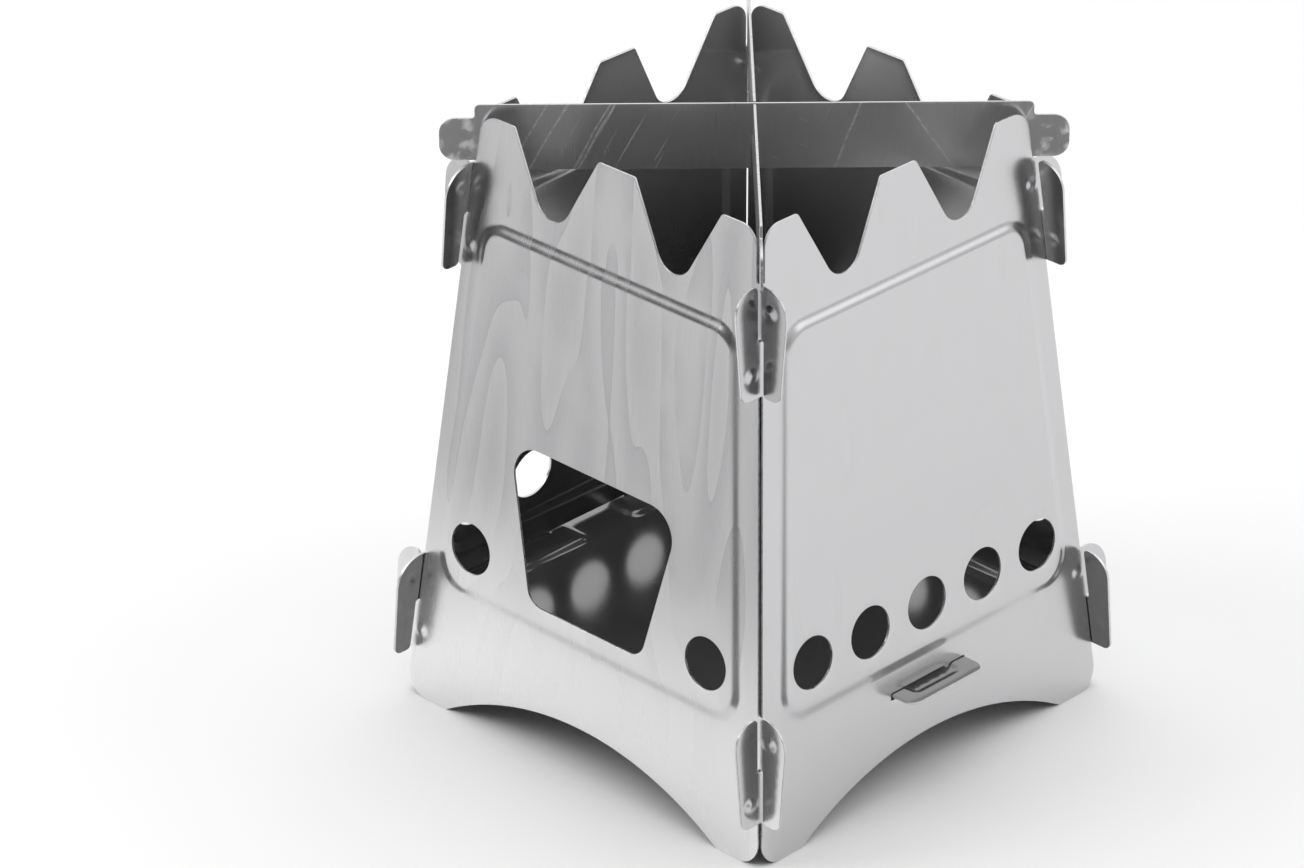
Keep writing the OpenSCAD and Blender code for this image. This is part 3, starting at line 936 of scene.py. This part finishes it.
def steel(name, light, dark, roughness, grain=0.1, scratch=0.0, scores=(), stain=0.0, worn_ends=0.0, inner_shade=0.0,
          metal=1.0):
    """A satin steel. light and dark are its colours, and the other values are strengths."""
    material = bpy.data.materials.new(name)
    material.use_nodes = True
    tree = material.node_tree
    shader = tree.nodes["Principled BSDF"]
    shader.inputs["Metallic"].default_value = metal
    finish = Finish(tree, light, dark, roughness, grain)
    if scratch:
        add_scratches(finish, scratch, scores)
    if stain:
        add_stains(finish, stain, dark)
    if worn_ends:
        add_worn_ends(finish, worn_ends)
    if inner_shade:
        add_painted_shade(finish, inner_shade)
    relief = put(tree, "ShaderNodeBump", {
        "Height": finish.height, "Strength": RELIEF_STRENGTH, "Distance": RELIEF_DEPTH * MM})
    tree.links.new(finish.base, shader.inputs["Base Color"])
    tree.links.new(finish.rough, shader.inputs["Roughness"])
    tree.links.new(relief.outputs[0], shader.inputs["Normal"])
    return material


print("relief depth in mm:", RELIEF_DEPTH)

# %% [markdown]
# ## The cut edge
# Shears leave a bright edge with fine marks across the sheet. The edge has no flat pattern of its own,
# so its marks read Object coordinates, which a finished piece keeps in metres.

# %% Steel of the cut edge
def cut_steel():
    """The bright edge that the shears leave, with fine marks across the sheet."""
    material = bpy.data.materials.new("cut_edge_steel")
    material.use_nodes = True
    tree = material.node_tree
    shader = tree.nodes["Principled BSDF"]
    shader.inputs["Metallic"].default_value = 1.0
    place = put(tree, "ShaderNodeTexCoord").outputs["Object"]
    marks = noise(tree, place, 900.0, 3.0)
    tree.links.new(mix_colour(tree, marks, (0.52, 0.52, 0.53), (0.82, 0.82, 0.83)), shader.inputs["Base Color"])
    tree.links.new(map_smooth(tree, marks, 0.3, 0.7, 0.25, 0.45), shader.inputs["Roughness"])
    return material


CUT_EDGE = cut_steel()
print("cut edge:", CUT_EDGE.name)

# %% [markdown]
# ## Seven sheets, six finishes
# The front wall is stained, the other walls are plain, and the front wall's steel is painted darker, which is
# painted shade.
# Inside, every wall has one steel, painted lighter than outside and darker towards the floor and on the ears,
# which is painted light and painted shade.
# The upper bar has the long scratches that the photograph shows. The floor plate's steel is painted darker
# still, as painted shade for its place deep inside the stove.

# %% Make the steels
SATIN, BAR_SATIN, PLATE_SATIN = 0.21, 0.30, 0.14
# Painted shade: the front wall's steel is painted darker than the plain walls' steel. Its stains are its own.
SHADED_STAINED_STEEL = steel("shaded_stained_wall_steel", (0.53, 0.53, 0.53), (0.37, 0.37, 0.38), SATIN, stain=1.0)
PLAIN_STEEL = steel("wall_steel_satin", (0.65, 0.65, 0.66), (0.57, 0.57, 0.58), SATIN, stain=0.15)
# Painted light and shade: the inner face is painted lighter than the outer face, and darker towards the floor
# and on the ears.
INNER_LIT_AND_SHADED_STEEL = steel("inner_wall_steel_lit_and_shaded", (0.86, 0.86, 0.86), (0.76, 0.76, 0.76), SATIN, inner_shade=0.85, metal=0.88)
BAR_STEEL = steel("bar_steel_satin", (0.80, 0.80, 0.81), (0.64, 0.64, 0.65), BAR_SATIN, scratch=0.7,
                  worn_ends=0.6, metal=0.9)
SCORES = [(-34.0, 0.49), (-35.0, 0.49), (-44.5, 0.52), (-49.0, 0.50), (21.0, 0.35), (39.0, -0.6)]
SCORED_STEEL = steel("scored_bar_steel", (0.70, 0.70, 0.71), (0.56, 0.56, 0.57), BAR_SATIN, scratch=0.9,
                     scores=SCORES, worn_ends=1.0, metal=0.9)
# Painted shade: the plate's steel is painted darker than the walls' steel, for its place deep inside the stove.
SHADED_PLATE_STEEL = steel("shaded_floor_plate_steel", (0.30, 0.30, 0.30), (0.24, 0.24, 0.24), PLATE_SATIN, grain=0.06,
                    scratch=0.3, metal=0.75)
print("steels:", sorted(m.name for m in bpy.data.materials if "steel" in m.name))

# %% [markdown]
# ## From pattern to piece
# press() runs a pattern through the tree, gives it a UV map from its flat coordinates, and stands it
# in its place by moving its points. The object itself stays at the origin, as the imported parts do,
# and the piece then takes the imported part's place in the model.

# %% Press a sheet
def store(mesh, name, values):
    """Stores one number for each point of the mesh, for the node tree to read."""
    mesh.attributes.new(name, "FLOAT", "POINT").data.foreach_set("value", values.astype(np.float32))


def press(name, loops, face, inner, bend=None, lines=(), dimples=(), seed=0.0, uv_start=0.0, **values):
    """A pressed sheet, still lying flat. bend is the loop in the middle of its bend, and lines follow it."""
    mesh, flat, distances = flat_sheet(loops, lines, dimples)
    distances["bend_distance"] = np.full(len(flat), -FAR)
    if bend:
        sign = np.where(inside(flat, bend), 1.0, -1.0)
        distances["bend_distance"] = sign * distance_to(flat, bend)
    for key, numbers in distances.items():
        store(mesh, key, numbers)
    for material in dict.fromkeys((face, inner, CUT_EDGE)):
        mesh.materials.append(material)
    made = run_tree(mesh, PRESSING_TREE, round_edges, Face=face, Inner_face=inner, Cut_edge=CUT_EDGE,
                    Wave_seed=seed, **values)
    points = np.array([v.co[:] for v in made.vertices])
    corners = np.empty(len(made.loops), int)
    made.loops.foreach_get("vertex_index", corners)
    layer = made.uv_layers.new(name="sheet")
    places = points[corners, :2] / UV_UNIT + np.array((uv_start, 0))
    layer.data.foreach_set("uv", places.astype(np.float32).ravel())
    made.name = name
    return made


print("materials of a sheet: its face, its inner face and", CUT_EDGE.name)

# %% Place a piece and hide the imported part
def declare(mesh, place, node, body):
    """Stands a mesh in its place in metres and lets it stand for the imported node."""
    mesh.transform(Matrix.Scale(MM, 4) @ place)
    mesh.update()
    piece = bpy.data.objects.new(mesh.name, mesh)
    bpy.context.scene.collection.objects.link(piece)
    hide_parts(node)
    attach(piece, body)
    return piece


def stand(side):
    """Stands a wall that is drawn flat on its feet, leaning, at one of four sides."""
    upright = Matrix.Rotation(math.pi / 2 - LEAN, 4, "X")
    out = Matrix.Translation((0, -CORNER_HALF, 0))
    return Matrix.Rotation(math.pi / 2 * side, 4, "Z") @ out @ upright


print("the front wall's foot stands at, in mm:", [round(x, 1) for x in stand(0).translation])

# %% [markdown]
# ## The four walls
# The walls differ only in their holes: the front has the port and two vents, the others have five
# vents, and the two side walls have the tab slot. Each has its own seed, so no two are bent alike.

# %% Make the walls
BEND_LINES = (-1.75, -1.3, -0.85, -0.4, 0.0, 0.4, 0.85, 1.3, 1.75)


def keep_above_ground(piece):
    """Lifts to the ground the points of a leaning foot that would lie under it."""
    points = piece.data.vertices
    places = np.empty(len(points) * 3)
    points.foreach_get("co", places)
    places[2::3] = np.maximum(places[2::3], 0.0)
    points.foreach_set("co", places)


def wall(name, side, holes, face, seed):
    """One wall, with its holes cut and its own wave from the seed."""
    lines = [field_outline(shrink) for shrink in BEND_LINES]
    mesh = press(name + "_sheet", [wall_outline(), *holes], face, INNER_LIT_AND_SHADED_STEEL, bend=field_outline(),
                 lines=lines, dimples=dimple_places(), seed=seed, uv_start=WALL_PITCH * side,
                 Raise=FIELD_RAISE, Bend_width=BEND_WIDTH)
    piece = declare(mesh, stand(side), name, "stove")
    keep_above_ground(piece)
    print(name, "triangles:", sum(len(p.vertices) - 2 for p in piece.data.polygons))
    return piece


wall("front_wall", 0, [port_outline(), *vent_outlines(**FRONT_VENTS)], SHADED_STAINED_STEEL, 3.0)
wall("right_wall", 1, [tab_slot_outline(), *vent_outlines(**SIDE_VENTS)], PLAIN_STEEL, 11.0)
wall("back_wall", 2, vent_outlines(**SIDE_VENTS), PLAIN_STEEL, 19.0)
wall("left_wall", 3, [tab_slot_outline(), *vent_outlines(**SIDE_VENTS)], PLAIN_STEEL, 27.0)

# %% [markdown]
# ## The floor plate
# The plate carries the fire. A shallow dish with a channel to each tab stiffens it, and the tabs
# rest in the side walls' slots. It is pressed in the same tree, with the dish going down.

# %% Make the floor plate
PLATE_PLAY, DISH_INSET, TAB_REACH, CHANNEL_REACH = 0.5, 7.2, 6.5, 3.7
FLOOR_HALF = corner(FLOOR_HEIGHT) - SHEET_LEVEL - PLATE_PLAY
TAB_END, CHANNEL_END = corner(FLOOR_HEIGHT) + TAB_REACH, corner(FLOOR_HEIGHT) + CHANNEL_REACH
DISH_HALF, DISH_BEND, DISH_RADIUS, BEND_MIDDLE = FLOOR_HALF - DISH_INSET, 2.4, 5.0, 0.6
CHANNEL_WIDTH, CHANNEL_RADIUS, CHANNEL_ROOT = 15.6, 1.5, 2.5
DISH_LINES = (-1.1, -0.6, 0.0, 0.6, 1.1)


def tabbed_square(half, radius, end, width, end_radius, inner_radius):
    """A square with a tab on its left and right sides."""
    right = [(half, -half, radius), (half, -width / 2, inner_radius), (end, -width / 2, end_radius),
             (end, width / 2, end_radius), (half, width / 2, inner_radius), (half, half, radius)]
    return outline(right + [(-x, -y, r) for x, y, r in right])


def dish_outline(shrink=0.0):
    """The middle of the dish's bend, drawn smaller by shrink."""
    inset = shrink + BEND_MIDDLE
    return tabbed_square(DISH_HALF - inset, DISH_RADIUS - inset, CHANNEL_END - inset,
                         CHANNEL_WIDTH - 2 * inset, CHANNEL_RADIUS, CHANNEL_ROOT)


plate_outline = tabbed_square(FLOOR_HALF, 4.0, TAB_END, TAB_WIDTH, 3.0, 0.3)
plate_mesh = press("floor_plate_sheet", [plate_outline], SHADED_PLATE_STEEL, SHADED_PLATE_STEEL, bend=dish_outline(),
                   lines=[dish_outline(shrink) for shrink in DISH_LINES], seed=35.0, uv_start=4 * WALL_PITCH,
                   Raise=-DISH_DEPTH, Bend_width=DISH_BEND, Dimple_rise=0.0)
plate_place = Matrix.Translation((0, 0, FLOOR_HEIGHT))
declare(plate_mesh, plate_place, "floor_plate", "stove")
print("floor plate points:", len(plate_mesh.vertices))

# %% [markdown]
# ## The crossbars
# Two bars of the same sheet stand on edge, slotted halfway into each other. Their ends rest on the
# crossed ears at the corners, so they lift straight out.

# %% Make the crossbars
BAR_PROUD, BAR_HEIGHT, BAR_REACH, SEAT_PLAY, BAR_EAR_RISE = 1.7, 15.7, 7.7, 0.4, 10.5
BAR_TOP = WALL_HEIGHT + BAR_PROUD
BAR_BOTTOM = BAR_TOP - BAR_HEIGHT
EARS_TOP = EAR_MIDS[1] + EAR_HEIGHT / 2
BAR_SEAT, BAR_EAR_TOP = EARS_TOP + SEAT_PLAY, EARS_TOP + BAR_EAR_RISE
BAR_HALF = math.sqrt(2) * (corner(EARS_TOP) - SHEET_LEVEL) - 0.8
BAR_END = math.sqrt(2) * corner((BAR_SEAT + BAR_EAR_TOP) / 2) + BAR_REACH
BAR_TOP_HALF = math.sqrt(2) * corner(WALL_HEIGHT) + 0.7
SLOT_HALF, SLOT_DEPTH = SHEET / 2 + 0.5, (BAR_TOP - BAR_BOTTOM) / 2 + 0.2


def bar_outline(slot_up):
    """A bar's outline, with its slot cut from the top edge or from the bottom edge."""
    end = [(BAR_HALF, BAR_BOTTOM, 0.6), (BAR_HALF, BAR_SEAT, 0.3), (BAR_END, BAR_SEAT, 3.6),
           (BAR_END, BAR_EAR_TOP, 3.6), (BAR_TOP_HALF, BAR_EAR_TOP, 0.6), (BAR_TOP_HALF, BAR_TOP, 1.2)]
    mouth, depth = (BAR_TOP, BAR_TOP - SLOT_DEPTH) if slot_up else (BAR_BOTTOM, BAR_BOTTOM + SLOT_DEPTH)
    half = [(SLOT_HALF, mouth, 0.0), (SLOT_HALF, depth, 0.3)]
    if slot_up:
        return outline(end + half + mirrored(half) + mirrored(end))
    return outline(mirrored(half[::-1]) + half[::-1] + end + mirrored(end))


def bar(name, turn, slot_up, body, seed, face):
    """One bar, flat and unpressed, stood on edge and turned about the stove's middle."""
    mesh = press(name + "_sheet", [bar_outline(slot_up)], face, face, seed=seed,
                 Dimple_rise=0.0, Raise=0.0, Wave=0.0, Edge_drop=0.04)
    mesh.transform(Matrix.Translation((0, 0, SHEET / 2)))
    place = Matrix.Rotation(math.radians(turn), 4, "Z") @ Matrix.Rotation(math.pi / 2, 4, "X")
    return declare(mesh, place, name, body)


crossbar_lower = bar("crossbar_lower", -45, True, "lower_bar", 1.0, BAR_STEEL)
crossbar_upper = bar("crossbar_upper", 45, False, "upper_bar", 2.0, SCORED_STEEL)
areas = [round(sum(p.area for p in b.data.polygons) / MM ** 2) for b in (crossbar_lower, crossbar_upper)]
print("area of each bar in mm2, which must agree:", areas)
print("bar length:", round(2 * BAR_END, 1))

# %% [markdown]
# ## The floor and a dark card
# The photograph is a studio shot on white. A metal shows its surroundings more than its own colour, so
# the studio is what shapes it. The floor is plain pale paint. A dark card lies on the floor in front of
# the stove, hidden from the camera, as a painted dark reflection: it gives a shape to the edges of the
# ears and bars that face the camera. Only the steel sees it: it casts no shadow.

# %% The floor and the card
TO_CAMERA, TO_RIGHT, TO_BACKDROP = (0.70, -0.71, 0.0), (0.71, 0.70, 0.0), (-0.68, 0.68, 0.27)
FLOOR_SIZE, FLOOR_PAINT, CARD_PAINT, CARD_LIFT = 4.0, 0.97, 0.18, 0.0004
CARD_EDGES = [(0.1, 0.05), (0.25, 0.19), (0.8, 0.7)]


def stage_sheet(name, corners, colour):
    """A flat matt sheet of the studio, which isn't part of the stove."""
    mesh = bpy.data.meshes.new(name)
    mesh.from_pydata(corners, [], [range(len(corners))])
    sheet = bpy.data.objects.new(name, mesh)
    bpy.context.scene.collection.objects.link(sheet)
    material = bpy.data.materials.new(name + "_paint")
    material.use_nodes = True
    paint = material.node_tree.nodes["Principled BSDF"]
    paint.inputs["Base Color"].default_value = (colour, colour, colour, 1)
    paint.inputs["Roughness"].default_value = 0.9
    paint.inputs["Specular IOR Level"].default_value = 0.0
    mesh.materials.append(material)
    return sheet


def card_corners(edges):
    """Corners of a card just above the floor, from its half width at some distances towards the camera."""
    ahead, aside, lift = Vector(TO_CAMERA), Vector(TO_RIGHT), Vector((0, 0, CARD_LIFT))
    right = [ahead * away + aside * half + lift for away, half in edges]
    left = [ahead * away - aside * half + lift for away, half in edges]
    return left[::-1] + right


floor_corners = [(x * FLOOR_SIZE, y * FLOOR_SIZE, 0) for x, y in ((-1, -1), (1, -1), (1, 1), (-1, 1))]
stage_sheet("studio_floor", floor_corners, FLOOR_PAINT)
# Painted dark reflection: the card is hidden from the camera, from diffuse light and from shadow.
dark_card = stage_sheet("dark_card", card_corners(CARD_EDGES), CARD_PAINT)
dark_card.visible_camera = dark_card.visible_diffuse = dark_card.visible_shadow = False
print("card's near edge, in mm from the stove's middle:", round(CARD_EDGES[0][0] / MM))

# %% [markdown]
# ## The studio room
# The world is the room round the stove: grey walls, darker behind the camera and to the left, a white
# ceiling, and a bright backdrop behind the stove. It depends on direction alone, and it is the same
# for every kind of ray, so the steel shows the room and floor that the camera sees.

# %% The world
LEFT_GREY, RIGHT_GREY, BEHIND_CAMERA, CEILING, BACKDROP = 0.18, 0.68, 0.12, 1.35, 1.1


def along(tree, vector, direction):
    """How far a direction points along another one, from -1 to 1."""
    product = put(tree, "ShaderNodeVectorMath", {0: vector, 1: direction}, operation="DOT_PRODUCT")
    return product.outputs["Value"]


def blend(tree, factor, a, b):
    return put(tree, "ShaderNodeMix", {0: factor, 2: a, 3: b}, data_type="FLOAT").outputs[0]


def studio_room(tree):
    """Brightness of the room in each direction."""
    heading = put(tree, "ShaderNodeTexCoord").outputs["Generated"]
    height = put(tree, "ShaderNodeSeparateXYZ", {"Vector": heading}).outputs["Z"]
    near = map_smooth(tree, along(tree, heading, TO_CAMERA), 0.4, 0.9, 1.0, BEHIND_CAMERA)
    walls = map_smooth(tree, along(tree, heading, TO_RIGHT), -0.5, 0.6, LEFT_GREY, RIGHT_GREY)
    high = map_smooth(tree, height, 0.6, 0.95, 0.0, 1.0)
    room = blend(tree, high, times(tree, walls, near), CEILING)
    backdrop = map_smooth(tree, along(tree, heading, TO_BACKDROP), 0.4, 0.85, 0.0, 1.0)
    return blend(tree, backdrop, room, BACKDROP)


def studio_world():
    """Makes the room the scene's world."""
    world = bpy.data.worlds.new("studio")
    world.use_nodes = True
    tree = world.node_tree
    tree.nodes.clear()
    room = put(tree, "ShaderNodeBackground", {"Color": (1, 1, 1, 1), "Strength": studio_room(tree)})
    put(tree, "ShaderNodeOutputWorld", {"Surface": room.outputs[0]})
    bpy.context.scene.world = world


studio_world()
print("world:", bpy.context.scene.world.name)

# %% [markdown]
# ## Lamps
# Two large square lamps fill in from the left front and the right back. Large lamps near an object
# give soft edges to shadows, and their level keeps the colours about as they are written.

# %% Two soft lamps
LAMP_TARGET = Vector((0, 0, 0.07))


def lamp(name, azimuth, elevation, distance, size, power):
    """A square soft lamp that looks at the stove from a direction, in degrees."""
    a, e = math.radians(azimuth), math.radians(elevation)
    back = Vector((math.sin(a) * math.cos(e), -math.cos(a) * math.cos(e), math.sin(e)))
    data = bpy.data.lights.new(name, "AREA")
    data.size, data.energy = size, power
    light = bpy.data.objects.new(name, data)
    light.location = LAMP_TARGET + back * distance
    light.rotation_euler = back.to_track_quat("Z", "Y").to_euler()
    bpy.context.scene.collection.objects.link(light)
    return light


lamp("left_softbox", -41, 36, distance=1.3, size=0.8, power=5.0)
lamp("right_softbox", 132, 34, distance=1.3, size=0.9, power=2.4)
bpy.context.scene.view_settings.view_transform = "Standard"

# %% [markdown]
# ## Finish
# The scene is brought up to date once more.

# %% Finish
bpy.context.view_layer.update()
